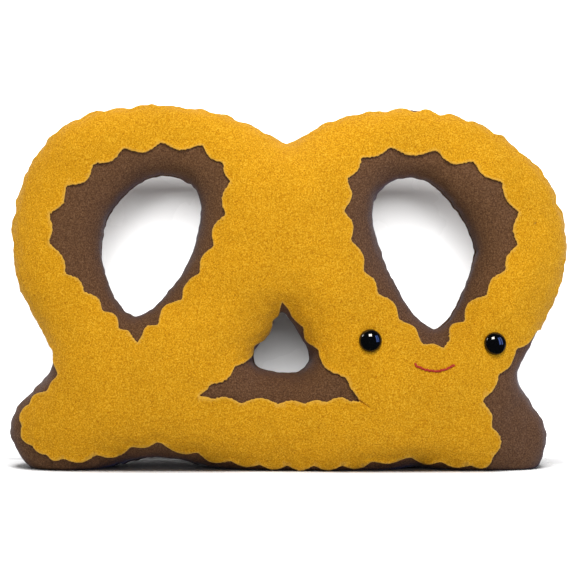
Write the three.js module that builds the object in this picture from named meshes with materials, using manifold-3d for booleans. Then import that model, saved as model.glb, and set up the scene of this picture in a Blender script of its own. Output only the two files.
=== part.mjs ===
// A stuffed felt toy in the shape of a soft pretzel, standing on its lower edge.
//
// Two brown felt panels are sewn together along the outer edge and around three
// openings, then stuffed until they bulge. A mustard-yellow felt shape with a
// scalloped edge lies over the front panel. Two domed safety eyes, each locked by
// a washer inside the toy, and a red stitched smile sit on the yellow felt.
//
// Frame: millimetres, +Z up, +X to the right of a viewer who faces the smile, which
// looks along -Y. The origin is under the middle of the toy, on the surface that it
// stands on. The shapes are worked out with the seam in the plane y = 0, and the
// finished toy is moved as a whole, by a few millimetres, to put the origin there.

import * as THREE from 'three';
import Module from 'manifold-3d';
import { ConvexHull } from 'three/addons/math/ConvexHull.js';
import { mergeVertices } from 'three/addons/utils/BufferGeometryUtils.js';

const wasm = await Module();
wasm.setup();

// ---------------------------------------------------------------- driving dimensions

const feltThickness = 1.2;
const layerGap = 0.3;           // air between two layers of felt, and at the seam
const fullness = 1.58;          // how hard the toy is stuffed
const bulgeExponent = 0.4;      // below one half, the walls leave the seam more squarely

const outerStep = 18;           // spacing of the points along the outer seam
const openingStep = 10.5;       // spacing of the points around the two large openings
const triangleStep = 8;         // spacing of the points around the small opening
const ringDepths = [0, 3, 10];  // rows of points that follow each seam, at these depths
const gridStep = 22;            // spacing of the points away from the seams
const gridClearance = 18;       // how far those points stay from every seam
const starRadius = 10;          // reach of the star of points under each eye

const scallopPitch = 15.5;      // length of one scallop along the yellow edge
const cutoutScallop = 2.4;      // height of the scallops around the cut-outs
const outerScallop = 1.2;       // and along the outer edge, where the felt turns away

const eyeRadius = 7.5;
const eyeHeight = 5.5;
const shankRadius = 2.2;
const shankLength = 14;
const washerRadius = 6.8;
const washerThickness = 1.2;
const washerDepth = 1.0;        // from the stuffing's surface down to the washer
const fitClearance = 0.35;

const flossRadius = 0.65;

// Places on the front, as x and z.
const leftEyePlace = [55, 85.5];
const rightEyePlace = [136, 83.5];
const smilePlaces = [[81, 72], [87, 68.2], [94, 66.8], [101, 67.8], [107, 71.4]];

// The seam, as x and z at the stuffing's edge: the outer edge clockwise from the dip
// at the top, then the two large openings and the small triangle between the arms.
const outerSeam = [
  [2, 213], [24, 226], [48, 234], [85, 237], [122, 230], [150, 213], [172, 188],
  [183, 160], [182, 130], [171, 102], [158, 78], [154, 60], [163, 43], [170, 24],
  [163, 5], [147, -4], [124, -4], [106, 1], [86, 5], [64, 1], [40, -4], [5, -4],
  [-22, 0], [-56, 7], [-90, 11], [-118, 6], [-136, -2], [-151, -4], [-168, 4],
  [-181, 22], [-176, 40], [-159, 55], [-154, 69], [-162, 92], [-175, 120],
  [-181, 150], [-177, 184], [-160, 212], [-134, 232], [-100, 239], [-70, 239],
  [-36, 231], [-14, 219],
];
const leftOpening = [
  [-86, 197], [-103, 191], [-118, 174], [-126, 157], [-127, 140], [-121, 120],
  [-112, 102], [-103, 95], [-90, 101], [-71, 126], [-59, 154], [-56, 173], [-60, 187],
  [-70, 195],
];
const rightOpening = [
  [84, 195], [71, 193], [60, 184], [56, 168], [59, 150], [70, 121], [86, 98], [98, 91],
  [110, 99], [123, 127], [128, 143], [125, 158], [116, 172], [99, 190],
];
const triangleOpening = [
  [-3, 105], [-13, 90], [-22, 77], [-20, 66], [-3, 62], [12, 65], [16, 75], [7, 92],
];

// The mean line of the yellow felt's scalloped edges, as x and z.
const yellowOuter = [
  [2, 212], [26, 226], [48, 233], [86, 235], [124, 227], [151, 211], [173, 185],
  [181, 157], [179, 130], [169, 104], [156, 86], [146, 72], [133, 56], [130, 44],
  [137, 28], [137, 13], [126, 6], [102, 7], [80, 10], [40, 6], [-20, 7], [-52, 12],
  [-82, 20], [-106, 16], [-138, 9], [-158, 11], [-171, 24], [-170, 42], [-152, 58],
  [-152, 74], [-162, 98], [-174, 124], [-178, 155], [-174, 183], [-158, 208],
  [-134, 229], [-104, 236], [-74, 237], [-38, 229], [-14, 217],
];
const yellowLeftCutout = [
  [-152, 160], [-147, 177], [-131, 193], [-108, 208], [-82, 213], [-56, 207], [-43, 190],
  [-43, 168], [-53, 138], [-70, 113], [-99, 88], [-113, 107], [-130, 124], [-145, 142],
];
const yellowRightCutout = [
  [41, 168], [42, 188], [54, 203], [77, 208], [104, 205], [126, 194], [142, 177],
  [147, 158], [139, 136], [124, 110], [101, 85], [78, 101], [57, 128], [46, 150],
];
const yellowTriangle = [
  [-2, 109], [9, 90], [23, 73], [40, 61], [44, 51], [30, 48], [0, 47], [-30, 48],
  [-50, 52], [-36, 66], [-22, 80], [-10, 95],
];

const skinOffset = 2 * layerGap + feltThickness;   // from the stuffing to the yellow felt
const panelOuter = layerGap + feltThickness;       // from the stuffing to a panel's face
const yellowOuterFace = skinOffset + feltThickness;

// ------------------------------------------------------------------------ outlines

const smoothLoop = (points) =>
  new THREE.CatmullRomCurve3(points.map(([x, z]) => new THREE.Vector3(x, z, 0)), true);

// Evenly spaced points around a loop, turned so that the area inside lies to the left.
function loopPoints(points, step) {
  const curve = smoothLoop(points);
  const count = Math.round(curve.getLength() / step);
  const loop = curve.getSpacedPoints(count).slice(0, count).map((p) => new THREE.Vector2(p.x, p.y));
  return THREE.ShapeUtils.isClockWise(loop) ? loop.reverse() : loop;
}

// The unit normals of a loop, pointing to its right: out of the area that it encloses.
const outwardNormals = (loop) =>
  loop.map((point, i) => {
    const before = loop.at(i - 1);
    const after = loop[(i + 1) % loop.length];
    return new THREE.Vector2(after.y - before.y, before.x - after.x).normalize();
  });

const movedOut = (loop, distance) => {
  const normals = outwardNormals(loop);
  return loop.map((point, i) => point.clone().addScaledVector(normals[i], distance));
};

function isInside(loop, x, y) {
  let inside = false;
  loop.forEach((a, i) => {
    const b = loop.at(i - 1);
    const crosses = a.y > y !== b.y > y;
    if (crosses && x < a.x + ((b.x - a.x) * (y - a.y)) / (b.y - a.y)) inside = !inside;
  });
  return inside;
}

const distanceTo = (loop, x, y) => Math.min(...loop.map((p) => Math.hypot(p.x - x, p.y - y)));

const seams = {
  outer: loopPoints(outerSeam, outerStep),
  openings: [
    loopPoints(leftOpening, openingStep),
    loopPoints(rightOpening, openingStep),
    loopPoints(triangleOpening, triangleStep),
  ],
};
const inFelt = (x, y) =>
  isInside(seams.outer, x, y) && !seams.openings.some((opening) => isInside(opening, x, y));

// ------------------------------------------------------------- points and triangles

// The pattern of one panel, laid flat: rows of points along every seam, a small star
// of points under each eye and along the smile, and a staggered grid elsewhere.
function patternPoints() {
  const points = [];
  const rows = [];
  for (const depth of ringDepths) {
    rows.push(movedOut(seams.outer, -depth), ...seams.openings.map((hole) => movedOut(hole, depth)));
  }
  const seamRows = rows.slice(0, 1 + seams.openings.length);
  rows.forEach((row) => points.push(...row));

  const details = [];
  for (const [x, z] of [leftEyePlace, rightEyePlace]) {
    details.push(new THREE.Vector2(x, z));
    for (let turn = 0; turn < 8; turn += 1) {
      const angle = (turn * Math.PI) / 4;
      details.push(new THREE.Vector2(x + starRadius * Math.cos(angle), z + starRadius * Math.sin(angle)));
    }
  }
  smilePlaces.forEach(([x, z]) => details.push(new THREE.Vector2(x, z)));
  points.push(...details);

  const rowHeight = gridStep * Math.sin(Math.PI / 3);
  const extent = new THREE.Box2().setFromPoints(seams.outer);
  const lastRow = Math.ceil(extent.max.y / rowHeight);
  const lastColumn = Math.ceil(extent.max.x / gridStep);
  for (let row = 0; row <= lastRow; row += 1) {
    for (let column = -lastColumn; column <= lastColumn; column += 1) {
      const x = (column + (row % 2) / 2) * gridStep;
      const y = row * rowHeight;
      const clearOfSeams = [seams.outer, ...seams.openings].every(
        (loop) => distanceTo(loop, x, y) > gridClearance);
      if (inFelt(x, y) && clearOfSeams && distanceTo(details, x, y) > gridStep / 2) {
        points.push(new THREE.Vector2(x, y));
      }
    }
  }
  return { points, seamRows };
}

// Delaunay triangles of flat points: the underside of the convex hull of the same
// points lifted onto a shallow paraboloid. Triangles outside the felt are dropped.
function triangulate(points) {
  const shallowness = 100;
  const lifted = points.map((p) => new THREE.Vector3(p.x, p.y, p.lengthSq() / shallowness));
  const indexOf = new Map(lifted.map((p, i) => [p, i]));
  const triangles = [];
  for (const face of new ConvexHull().setFromPoints(lifted).faces) {
    if (face.normal.z >= 0) continue;
    const corners = [0, 1, 2].map((i) => indexOf.get(face.getEdge(i).head().point));
    const x = corners.reduce((sum, i) => sum + points[i].x, 0) / 3;
    const y = corners.reduce((sum, i) => sum + points[i].y, 0) / 3;
    if (inFelt(x, y)) triangles.push(corners.reverse());
  }
  return triangles;
}

// ------------------------------------------------------------------------- inflation

// Height of a soap film stretched over the seam and blown up by an even pressure, at
// each point: the cotangent form of the Laplacian, relaxed until it settles.
function filmHeights(points, triangles, fixedCount) {
  const neighbours = points.map(() => new Map());
  const areas = points.map(() => 0);
  for (const triangle of triangles) {
    triangle.forEach((corner, i) => {
      const a = triangle[(i + 1) % 3];
      const b = triangle[(i + 2) % 3];
      const toA = points[a].clone().sub(points[corner]);
      const toB = points[b].clone().sub(points[corner]);
      const cross = Math.abs(toA.cross(toB));
      const weight = toA.dot(toB) / cross / 2;
      neighbours[a].set(b, (neighbours[a].get(b) ?? 0) + weight);
      neighbours[b].set(a, (neighbours[b].get(a) ?? 0) + weight);
      areas[corner] += cross / 6;
    });
  }
  const heights = points.map(() => 0);
  const overRelaxation = 1.7;
  for (let sweep = 0; sweep < 300; sweep += 1) {
    for (let i = fixedCount; i < points.length; i += 1) {
      let pull = 2 * areas[i];
      let stiffness = 0;
      for (const [j, weight] of neighbours[i]) {
        pull += weight * heights[j];
        stiffness += weight;
      }
      heights[i] += overRelaxation * (pull / stiffness - heights[i]);
    }
  }
  return heights;
}

const { points: pattern, seamRows } = patternPoints();
const triangles = triangulate(pattern);
const seamCount = seamRows.reduce((sum, row) => sum + row.length, 0);
const film = filmHeights(pattern, triangles, seamCount);

// The stuffing's front surface, and its outward normals. On the seam the normal lies
// in the seam's plane, because the front and the back meet there.
const surface = pattern.map((p, i) => new THREE.Vector3(p.x, -fullness * film[i] ** bulgeExponent, p.y));
const normals = surface.map(() => new THREE.Vector3());
for (const [a, b, c] of triangles) {
  const areaVector = surface[b].clone().sub(surface[a]).cross(surface[c].clone().sub(surface[a]));
  [a, b, c].forEach((i) => normals[i].add(areaVector));
}
normals.forEach((normal, i) => {
  if (i < seamCount) normal.y = 0;
  normal.normalize();
});

// --------------------------------------------------------------- layers and solids

// The surface moved out by an offset and pressed flat where the toy stands. A seamGap
// keeps the edge of a panel back from the plane where it meets the other panel.
const layer = (offset, seamGap = 0) =>
  surface.map((point, i) => {
    const moved = point.clone().addScaledVector(normals[i], offset);
    moved.z = Math.max(moved.z, panelOuter - offset);
    moved.y = Math.min(moved.y, -seamGap);
    return moved;
  });

const mirrored = (positions) => positions.map((p) => new THREE.Vector3(p.x, -p.y, p.z));
const flipped = (faces) => faces.map(([a, b, c]) => [a, c, b]);
const shifted = (faces, by) => faces.map((face) => face.map((i) => i + by));

function closedGeometry(positions, faces) {
  const geometry = new THREE.BufferGeometry();
  geometry.setAttribute('position', new THREE.Float32BufferAttribute(positions.flatMap((p) => p.toArray()), 3));
  geometry.setIndex(faces.flat());
  return geometry;
}

// A felt panel: an outer and an inner face with a narrow rim along every seam.
function panelGeometry(innerOffset, outerOffset) {
  const inner = layer(innerOffset, layerGap / 2);
  const outer = layer(outerOffset, layerGap / 2);
  const count = surface.length;
  const rim = [];
  let start = 0;
  seamRows.forEach((row, rowIndex) => {
    row.forEach((point, i) => {
      const here = start + i;
      const next = start + ((i + 1) % row.length);
      const strip = [[here, next, next + count], [here, next + count, here + count]];
      rim.push(...(rowIndex === 0 ? strip : flipped(strip)));
    });
    start += row.length;
  });
  const faces = [...triangles, ...shifted(flipped(triangles), count), ...flipped(rim)];
  return closedGeometry([...outer, ...inner], faces);
}

// The stuffing: the front surface and its mirror image, which share the seam's points.
function stuffingGeometry() {
  const front = layer(0);
  const count = front.length;
  const backFaces = flipped(triangles).map((face) => face.map((i) => (i < seamCount ? i : i + count)));
  const geometry = closedGeometry([...front, ...mirrored(front)], [...triangles, ...backFaces]);
  return mergeVertices(geometry, 1e-5);
}

function mirroredGeometry(geometry) {
  const copy = geometry.clone().scale(1, -1, 1);
  const index = copy.getIndex();
  for (let i = 0; i < index.count; i += 3) {
    const second = index.getX(i + 1);
    index.setX(i + 1, index.getX(i + 2));
    index.setX(i + 2, second);
  }
  return copy;
}

// ---------------------------------------------------------------- cutting and joining

function toSolid(geometry) {
  const bare = geometry.clone();
  bare.deleteAttribute('normal');
  bare.deleteAttribute('uv');
  const merged = mergeVertices(bare, 1e-4);
  return new wasm.Manifold(new wasm.Mesh({
    numProp: 3,
    vertProperties: new Float32Array(merged.getAttribute('position').array),
    triVerts: new Uint32Array(merged.getIndex().array),
  }));
}

function toGeometry(solid) {
  const mesh = solid.getMesh();
  const geometry = new THREE.BufferGeometry();
  geometry.setAttribute('position', new THREE.BufferAttribute(mesh.vertProperties, 3));
  geometry.setIndex(new THREE.BufferAttribute(mesh.triVerts, 1));
  return geometry;
}

// A loop whose edge swells and dips once in every scallop.
function scalloped(points, height) {
  const curve = smoothLoop(points);
  const scallops = Math.round(curve.getLength() / scallopPitch);
  const pointsPerScallop = 4;
  const loop = loopPoints(points, curve.getLength() / (scallops * pointsPerScallop));
  const outward = outwardNormals(loop);
  return loop.map((point, i) => {
    const swell = (height / 2) * Math.cos((2 * Math.PI * i) / pointsPerScallop);
    return point.clone().addScaledVector(outward[i], swell);
  });
}

// A block with the yellow felt's outline, deep enough to cut the whole front layer.
function yellowOutlineBlock() {
  const depth = 60;
  const shape = new THREE.Shape(scalloped(yellowOuter, outerScallop));
  for (const cutout of [yellowLeftCutout, yellowRightCutout, yellowTriangle]) {
    shape.holes.push(new THREE.Path(scalloped(cutout, cutoutScallop)));
  }
  const block = new THREE.ExtrudeGeometry(shape, { depth, bevelEnabled: false });
  return toSolid(block.rotateX(Math.PI / 2));
}

// ---------------------------------------------------------------------- eyes and smile

const indexAt = ([x, z]) => pattern.findIndex((p) => Math.hypot(p.x - x, p.y - z) < 1e-6);

// Turns a lathed shape so that its axis follows the felt's normal at a place on the
// front, and its own origin lies at the given height above the stuffing.
function placeOnFront(object, place, height) {
  const i = indexAt(place);
  object.quaternion.setFromUnitVectors(new THREE.Vector3(0, 1, 0), normals[i]);
  object.position.copy(surface[i]).addScaledVector(normals[i], height);
  return object;
}

const lathe = (profile, segments) =>
  new THREE.LatheGeometry(profile.map(([radius, height]) => new THREE.Vector2(radius, height)), segments);

function eyeGeometry() {
  const profile = [[0, -shankLength], [shankRadius - 0.5, -shankLength], [shankRadius, 1 - shankLength]];
  profile.push([shankRadius, 0], [eyeRadius - 0.6, 0], [eyeRadius, 0.6]);
  const domeRows = 6;
  for (let row = 1; row < domeRows; row += 1) {
    const angle = (row / domeRows) * (Math.PI / 2);
    profile.push([eyeRadius * Math.cos(angle), 0.6 + (eyeHeight - 0.6) * Math.sin(angle)]);
  }
  profile.push([0, eyeHeight]);
  return lathe(profile, 20);
}

const washerGeometry = () => {
  const bore = shankRadius + fitClearance;
  return lathe([
    [bore, 0], [bore, -washerThickness], [washerRadius, -washerThickness], [washerRadius, 0], [bore, 0],
  ], 20);
};

const peg = (radius, from, to) =>
  new THREE.CylinderGeometry(radius, radius, to - from, 16).translate(0, (from + to) / 2, 0);

function placedSolid(geometry, place, height) {
  const object = placeOnFront(new THREE.Object3D(), place, height);
  object.updateMatrix();
  return toSolid(geometry.clone().applyMatrix4(object.matrix));
}

// What an eye's shank needs through the felt, and what the washer needs inside.
const shankHole = (place) => placedSolid(peg(shankRadius + fitClearance, -4, 12), place, 0);
const washerPocket = (place) => {
  const pocket = placedSolid(
    peg(washerRadius + fitClearance, -washerDepth - washerThickness - fitClearance, 10), place, 0);
  const bore = placedSolid(peg(shankRadius + fitClearance, -shankLength, 0), place, 0);
  return pocket.add(bore);
};

function smileGeometry() {
  const height = yellowOuterFace + layerGap + flossRadius;
  const path = new THREE.CatmullRomCurve3(smilePlaces.map((place) => {
    const i = indexAt(place);
    return surface[i].clone().addScaledVector(normals[i], height);
  }));
  const section = new THREE.Shape();
  section.absarc(0, 0, flossRadius, 0, 2 * Math.PI);
  return new THREE.ExtrudeGeometry(section, {
    steps: 12, curveSegments: 4, bevelEnabled: false, extrudePath: path,
  });
}

// ----------------------------------------------------------------------------- model

const brownFelt = new THREE.MeshStandardMaterial({ color: 0x74553a, roughness: 0.95, metalness: 0 });
const yellowFelt = new THREE.MeshStandardMaterial({ color: 0xd69d22, roughness: 0.95, metalness: 0 });
const fibrefill = new THREE.MeshStandardMaterial({ color: 0xf1efe9, roughness: 1, metalness: 0 });
const blackPlastic = new THREE.MeshStandardMaterial({ color: 0x0c0c0e, roughness: 0.12, metalness: 0 });
const whitePlastic = new THREE.MeshStandardMaterial({ color: 0xe6e6e2, roughness: 0.5, metalness: 0 });
const redFloss = new THREE.MeshStandardMaterial({ color: 0xc4281c, roughness: 0.7, metalness: 0 });

const toy = new THREE.Group();

function addPiece(name, geometry, material) {
  const piece = new THREE.Mesh(geometry, material);
  piece.name = name;
  toy.add(piece);
  return piece;
}

const eyePlaces = [leftEyePlace, rightEyePlace];
const withShankHoles = (geometry) =>
  eyePlaces.reduce((solid, place) => solid.subtract(shankHole(place)), toSolid(geometry));

const stuffing = eyePlaces.reduce(
  (solid, place) => solid.subtract(washerPocket(place)), toSolid(stuffingGeometry()));
addPiece('stuffing', toGeometry(stuffing), fibrefill);

const panel = panelGeometry(layerGap, panelOuter);
addPiece('front_panel', toGeometry(withShankHoles(panel)), brownFelt);
addPiece('back_panel', mirroredGeometry(panel), brownFelt);

const yellowLayer = withShankHoles(panelGeometry(skinOffset, yellowOuterFace));
addPiece('yellow_overlay', toGeometry(yellowLayer.intersect(yellowOutlineBlock())), yellowFelt);

const sides = [['left', leftEyePlace], ['right', rightEyePlace]];
for (const [side, place] of sides) {
  placeOnFront(addPiece(`${side}_eye`, eyeGeometry(), blackPlastic), place, yellowOuterFace + layerGap);
  placeOnFront(addPiece(`${side}_eye_washer`, washerGeometry(), whitePlastic), place, -washerDepth);
}
addPiece('smile_stitch', smileGeometry(), redFloss);

// The origin goes to the middle of the toy's footprint, on the surface it stands on.
const extent = new THREE.Box3().setFromObject(toy, true);
const middle = extent.getCenter(new THREE.Vector3());
toy.position.set(-middle.x, -middle.y, -extent.min.z);

export default toy;
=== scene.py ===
"""A stuffed felt toy in the shape of a soft pretzel, standing on its lower edge.

Two brown felt panels are sewn together and stuffed. A yellow felt shape with scalloped
edges lies over the front one, with two domed safety eyes and a red stitched smile.

Shapes are worked out in millimetres: x to the right, y back from the seam between the
two panels, z up. They are moved into the frame's metres when a mesh is made.
"""

import bmesh
import bpy
import numpy as np
from bpy.props import FloatProperty, FloatVectorProperty, PointerProperty
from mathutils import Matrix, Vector


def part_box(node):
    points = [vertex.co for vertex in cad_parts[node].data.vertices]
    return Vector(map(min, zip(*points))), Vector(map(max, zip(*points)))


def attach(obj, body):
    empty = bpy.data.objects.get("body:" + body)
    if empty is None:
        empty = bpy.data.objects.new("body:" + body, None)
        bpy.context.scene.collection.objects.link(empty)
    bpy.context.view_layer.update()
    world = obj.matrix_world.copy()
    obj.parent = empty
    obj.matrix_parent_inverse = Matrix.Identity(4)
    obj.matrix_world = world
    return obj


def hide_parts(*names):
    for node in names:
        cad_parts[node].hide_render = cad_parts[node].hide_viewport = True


bl_info = {
    "name": "Stuffed Felt Pretzel",
    "version": (1, 0, 0),
    "blender": (4, 5, 0),
    "location": "3D View > Sidebar > Felt Pretzel",
    "description": "A stuffed felt pretzel toy with a scalloped yellow top layer, safety eyes and a smile",
    "category": "Add Mesh",
}

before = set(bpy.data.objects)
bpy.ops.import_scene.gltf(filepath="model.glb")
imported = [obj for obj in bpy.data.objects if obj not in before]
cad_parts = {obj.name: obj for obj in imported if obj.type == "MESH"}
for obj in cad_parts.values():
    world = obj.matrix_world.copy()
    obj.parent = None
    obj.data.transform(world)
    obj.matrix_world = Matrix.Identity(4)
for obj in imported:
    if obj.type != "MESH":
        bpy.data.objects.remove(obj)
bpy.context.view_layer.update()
MM = 0.001

# ------------------------------------------------------------------------ outlines, mm

# The seam, as x and z: the outer edge clockwise from the dip at the top, then the two
# large openings and the small triangle between the arms.
OUTER_SEAM = [
    (2, 213), (24, 226), (48, 234), (85, 237), (122, 230), (150, 213.5), (172.5, 188),
    (183.5, 160), (183, 130), (172, 102), (160, 79), (153, 59), (162, 42), (172, 24),
    (166, 4), (147, -4), (124, -4), (106, 1), (86, 5), (64, 1), (40, -4), (5, -4),
    (-22, 0), (-56, 7), (-90, 11), (-118, 6), (-136, -2), (-153, -4), (-170, 4),
    (-184, 22), (-179, 41), (-161.5, 57), (-155, 70), (-162, 92), (-175, 120),
    (-181, 150), (-176.5, 184), (-161, 213), (-135, 233), (-100, 239), (-70, 239),
    (-36, 232), (-14, 220),
]
LEFT_OPENING = [
    (-86, 197), (-102, 191), (-117, 174), (-125, 157), (-126, 140), (-120, 121),
    (-111, 104), (-103, 99.5), (-92, 104), (-71, 126), (-59, 154), (-56, 173), (-60, 187),
    (-70, 195),
]
RIGHT_OPENING = [
    (84, 195), (71, 193), (60, 184), (56, 168), (59, 150), (71, 121.5), (87, 98.5), (98.5, 90),
    (110, 99), (123, 127), (128, 143), (125, 158), (116, 172), (99, 190),
]
TRIANGLE_OPENING = [
    (-3.5, 106.5), (-14.5, 91), (-24.5, 76.5), (-22.5, 66), (-3, 62), (12, 65), (16.5, 75), (8.5, 92.5),
]

# The mean line of the yellow felt's outer edge. Along the top and the sides of both
# lobes it is drawn outside the seam, because the felt turns round the side there and
# stops at an even distance from the seam.
YELLOW_EDGE = [
    (2, 229), (18, 240), (46, 247), (86, 250), (127, 243), (159, 224), (184, 196),
    (197, 162), (196, 128), (183, 104), (166, 92), (156, 84), (147, 76), (140, 65),
    (133, 55), (128, 46), (132.5, 34), (136.5, 23), (136, 11), (130, 4), (111, 4), (92, 7),
    (79, 9), (62, 7), (46, 4), (20, 3), (-10, 3), (-31, 5), (-50, 9), (-64, 13),
    (-83, 19), (-97, 17), (-111, 12), (-124, 10), (-138, 8), (-152, 8), (-163, 13),
    (-172, 21), (-175, 33), (-169.5, 44.5), (-158, 52.5), (-151, 61), (-151, 71), (-156, 82),
    (-165, 94), (-175, 104), (-189, 122), (-195, 151), (-191, 187), (-171, 220),
    (-140, 244), (-102, 253), (-68, 252), (-30, 244), (-13, 236),
]
# Its cut-outs, as smooth runs that meet at the sharp corners.
LEFT_CUTOUT = [[
    (-97, 84.5), (-102, 89), (-113, 100), (-128, 116), (-141, 129), (-151, 145),
    (-154, 160), (-148, 177), (-132, 194), (-109, 208), (-82, 213), (-54, 210),
    (-40, 193), (-42, 168), (-54, 139), (-71, 113), (-86, 97), (-92, 91.5), (-97, 84.5),
]]
RIGHT_CUTOUT = [[
    (102, 80.5), (90, 85), (76, 99), (55, 126), (44, 149), (39.5, 168), (41, 189),
    (53, 205), (77, 210), (105, 206), (128, 196), (145, 179), (150, 158), (142, 135),
    (124, 110), (109.5, 92), (102, 80.5),
]]
TRIANGLE_CUTOUT = [
    [(-57, 50.5), (-46, 58), (-36, 65), (-27, 74), (-18, 85), (-10, 96), (-3, 111.5)],
    [(-3, 111.5), (5, 102), (11, 92), (18, 82), (25, 71), (34, 63.5), (42, 56), (47, 47)],
    [(47, 47), (30, 48), (10, 46.5), (-10, 46), (-30, 47), (-45, 49.5), (-57, 50.5)],
]
# A short fold runs on from the triangle's right corner.
FOLD = [(46, 48), (56, 40.5)]

# Valleys of the scallops, where the yellow felt is cut in furthest.
LEFT_VALLEYS = [
    (-82, 214.5), (-107, 211), (-125, 200), (-143.5, 186), (-155, 168), (-154.5, 149.5),
    (-142.5, 131), (-108.5, 94), (-84.5, 96.5), (-69, 113), (-56, 129), (-46.5, 147),
    (-40, 168), (-36, 189.5), (-40, 201.5), (-56, 212),
]
RIGHT_VALLEYS = [
    (47, 206.5), (67.5, 210), (97.5, 209), (121.5, 202), (139, 188), (152, 169.5),
    (149, 148.5), (142, 132), (129, 117), (116, 98.5), (90, 85.5), (74.5, 101), (61.5, 118),
    (51.5, 132), (41.5, 151), (38, 170), (38.5, 191),
]
TRIANGLE_VALLEYS = [
    (-35, 69), (-23, 83), (-10, 99), (22, 80), (39, 62.5), (25.5, 46.8), (11.5, 45),
    (-5.5, 44), (-30, 45.5),
]
OUTER_VALLEYS = [
    (149, 81), (138.5, 63), (128.5, 47), (135, 31), (138, 8), (120, 3), (101, 5), (80, 8),
    (55, 6), (36, 4), (-18, 3), (-37, 5), (-59, 12), (-83.5, 19), (-102, 15.5), (-125, 10),
    (-146, 7.6), (-158, 9), (-167, 15.5), (-171, 45), (-157, 53), (-147.5, 63),
    (-152, 79.5),
]
SEAM_VALLEYS = [
    (119.5, 231), (137, 221), (155, 210), (171, 194), (181, 177), (184, 157), (182, 137),
    (-151, 220), (-176, 190), (-182, 150), (-177, 126),
]

SMILE = [(82, 71.3), (86.5, 68.3), (92, 66.5), (97, 66.2), (102.5, 67.5), (108.3, 70.3)]

# ------------------------------------------------------------------- lengths, mm

FELT_GAP = 0.15  # air between the brown felt and the yellow
SEAM_OFFSET = 1.5  # from the stuffing's edge to the brown felt's face
BULGE_EXPONENT = 0.4
PLAN_STEP = 1.0  # grid on which the bulge is worked out
VOXEL = 3.0
WRAP = 9.0  # the yellow felt stops about this far from the seam
EYE_RADIUS = 7.5
EYE_HEIGHT = 5.5
SWELL_FRAMES = 20  # steps of the cloth simulation
MOST_SWELL = 4.0  # the furthest that the simulation may move a point
STITCH_STEP = 0.35  # between points along the smile
FELT_FACES = 0.7  # share of the front's faces that the yellow felt is cut from

MULTIPLIED = {"data_type": "RGBA", "blend_type": "MULTIPLY", "Factor": 1.0}

MADE = {}  # surfaces that one step leaves for the next


# ---------------------------------------------------------------------------- plan lines


def smooth_line(points, closed, per_span=24):
    """A centripetal Catmull-Rom curve: over each span a cubic, whose end slopes come from the
    points on either side, with each span timed by the square root of its length.
    """
    p = np.asarray(points, float)
    if closed:
        before, start, end, after = np.roll(p, 1, 0), p, np.roll(p, -1, 0), np.roll(p, -2, 0)
    else:
        q = np.vstack([2 * p[0] - p[1], p, 2 * p[-1] - p[-2]])
        before, start, end, after = q[:-3], q[1:-2], q[2:-1], q[3:]
    t0, t1, t2 = (
        np.sqrt(np.linalg.norm(b - a, axis=1))[:, None]
        for a, b in ((before, start), (start, end), (end, after))
    )
    m1 = ((start - before) / t0 - (end - before) / (t0 + t1) + (end - start) / t1) * t1
    m2 = ((end - start) / t1 - (after - start) / (t1 + t2) + (after - end) / t2) * t1
    s = (np.arange(per_span) / per_span)[None, :, None]
    line = (
        start[:, None] * (2 * s**3 - 3 * s**2 + 1)
        + m1[:, None] * (s**3 - 2 * s**2 + s)
        + end[:, None] * (3 * s**2 - 2 * s**3)
        + m2[:, None] * (s**3 - s**2)
    ).reshape(-1, p.shape[1])
    return line if closed else np.vstack([line, p[-1]])


def evenly(line, step):
    """Points at equal distances along an open line, both ends included."""
    run = np.concatenate([[0], np.cumsum(np.linalg.norm(np.diff(line, axis=0), axis=1))])
    at = np.linspace(0, run[-1], max(2, round(run[-1] / step) + 1))
    return np.column_stack([np.interp(at, run, line[:, i]) for i in range(line.shape[1])])


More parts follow.
